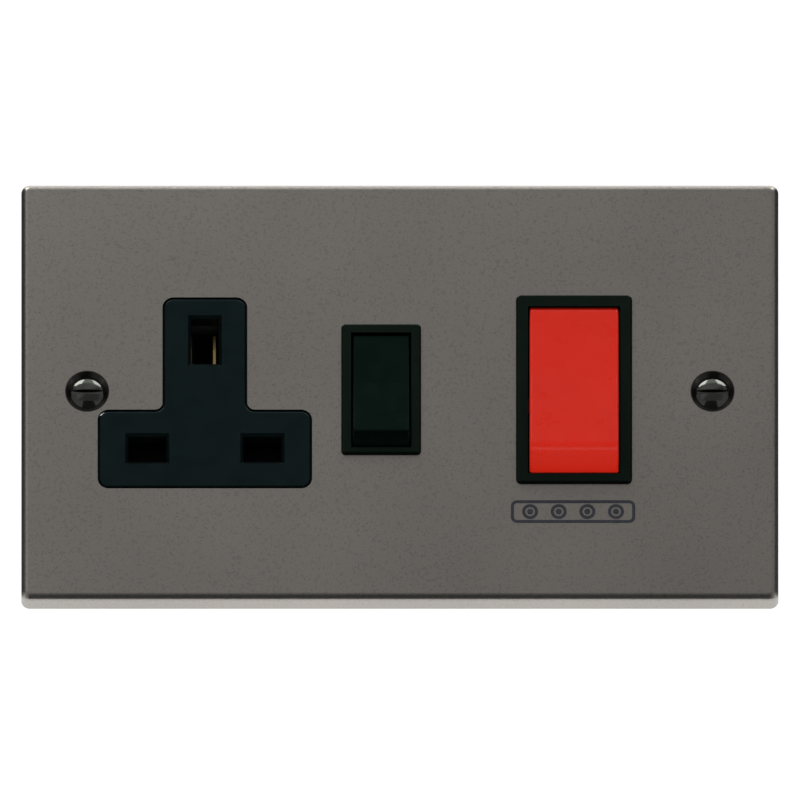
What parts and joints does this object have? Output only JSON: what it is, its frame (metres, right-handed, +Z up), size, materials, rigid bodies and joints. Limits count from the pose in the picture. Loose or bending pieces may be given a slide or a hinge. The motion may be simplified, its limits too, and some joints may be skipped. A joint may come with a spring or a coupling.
{
  "type": "cooker control unit",
  "caption": "Twin wall plate with a large red double-pole rocker for a cooker, a small black rocker and a shuttered three-pin socket, with terminals behind.",
  "frame": {"origin": "middle between the two fixing screws, in the plane of the plate's back rim, which lies on the wall", "axes": "+X to the right as seen from the room, +Y into the wall, +Z up"},
  "size_m": [0.146, 0.0368, 0.086],
  "materials": {
    "plate_metal": "dark nickel plated sheet with a fine satin grain",
    "black_moulding": "black moulded plastic, satin gloss",
    "red_moulding": "bright red moulded plastic, semi gloss",
    "housing_moulding": "dark grey moulded thermoset, matt",
    "white_moulding": "black moulded nylon, matt",
    "spring_steel": "bare spring steel wire",
    "dark_screw": "dark nickel plated, mirror bright",
    "zinc_screw": "bright zinc plated steel",
    "copper_strip": "bare copper strip",
    "contact_brass": "bare brass"
  },
  "bodies": {
    "base": {"back_cover": "housing_moulding", "cover_screw_left": "zinc_screw", "cover_screw_right": "zinc_screw", "earth_clamp_screw_left": "zinc_screw", "earth_clamp_screw_right": "zinc_screw", "earth_contact": "contact_brass", "earth_link": "contact_brass", "earth_strap": "contact_brass", "earth_terminal": "contact_brass", "feed_clamp_screw_line": "zinc_screw", "feed_clamp_screw_neutral": "zinc_screw", "feed_terminal_line": "contact_brass", "feed_terminal_neutral": "contact_brass", "fixing_screw_left": "dark_screw", "fixing_screw_right": "dark_screw", "front_plate": "plate_metal", "housing_screw_lower_left": "zinc_screw", "housing_screw_lower_right": "zinc_screw", "housing_screw_upper_left": "zinc_screw", "housing_screw_upper_right": "zinc_screw", "line_contact": "contact_brass", "line_link": "contact_brass", "load_clamp_screw_line": "zinc_screw", "load_clamp_screw_neutral": "zinc_screw", "load_terminal_line": "contact_brass", "load_terminal_neutral": "contact_brass", "neutral_contact": "contact_brass", "neutral_link": "contact_brass", "plate_stud_lower_left": "contact_brass", "plate_stud_lower_right": "contact_brass", "plate_stud_upper_left": "contact_brass", "plate_stud_upper_right": "contact_brass", "rear_housing": "housing_moulding", "shutter_spring": "spring_steel", "socket_moulding": "black_moulding", "switch_frame_13a": "black_moulding", "switch_frame_45a": "black_moulding", "switch_link": "contact_brass"},
    "rocker_13a": {"rocker_13a": "black_moulding", "plunger_13a": "white_moulding", "plunger_spring_13a": "spring_steel"},
    "rocker_45a": {"rocker_45a": "red_moulding", "plunger_line_45a": "white_moulding", "plunger_neutral_45a": "white_moulding", "plunger_spring_line_45a": "spring_steel", "plunger_spring_neutral_45a": "spring_steel"},
    "arm_13a": {"contact_arm_13a": "copper_strip"},
    "arm_line_45a": {"contact_arm_line_45a": "copper_strip"},
    "arm_neutral_45a": {"contact_arm_neutral_45a": "copper_strip"},
    "shutter": {"shutter": "white_moulding"}
  },
  "joints": [
    {"name": "rocker_13a_tilt", "type": "hinge", "parent": "base", "child": "rocker_13a", "pos_m": [-0.0036, 0.0008, 0], "axis": [1, 0, 0], "range_deg": [0, 17]},
    {"name": "rocker_45a_tilt", "type": "hinge", "parent": "base", "child": "rocker_45a", "pos_m": [0.0336, 0.0028, 0], "axis": [1, 0, 0], "range_deg": [0, 19.2]},
    {"name": "arm_13a_rock", "type": "hinge", "parent": "base", "child": "arm_13a", "pos_m": [-0.0036, 0.013, 0], "axis": [-1, 0, 0], "range_deg": [0, 20]},
    {"name": "arm_line_45a_rock", "type": "hinge", "parent": "base", "child": "arm_line_45a", "pos_m": [0.0284, 0.013, 0], "axis": [-1, 0, 0], "range_deg": [0, 20]},
    {"name": "arm_neutral_45a_rock", "type": "hinge", "parent": "base", "child": "arm_neutral_45a", "pos_m": [0.0388, 0.013, 0], "axis": [-1, 0, 0], "range_deg": [0, 20]},
    {"name": "shutter_slide", "type": "slide", "parent": "base", "child": "shutter", "axis": [0, 0, -1], "range_m": [0, 0.0064], "stiffness_N_per_m": 60, "springref_m": -0.004, "deforming": ["shutter_spring"]}
  ],
  "couplings": [
    {"joint": "arm_13a_rock", "follows": "rocker_13a_tilt", "ratio": 1.176},
    {"joint": "arm_line_45a_rock", "follows": "rocker_45a_tilt", "ratio": 1.0416},
    {"joint": "arm_neutral_45a_rock", "follows": "rocker_45a_tilt", "ratio": 1.0416}
  ]
}
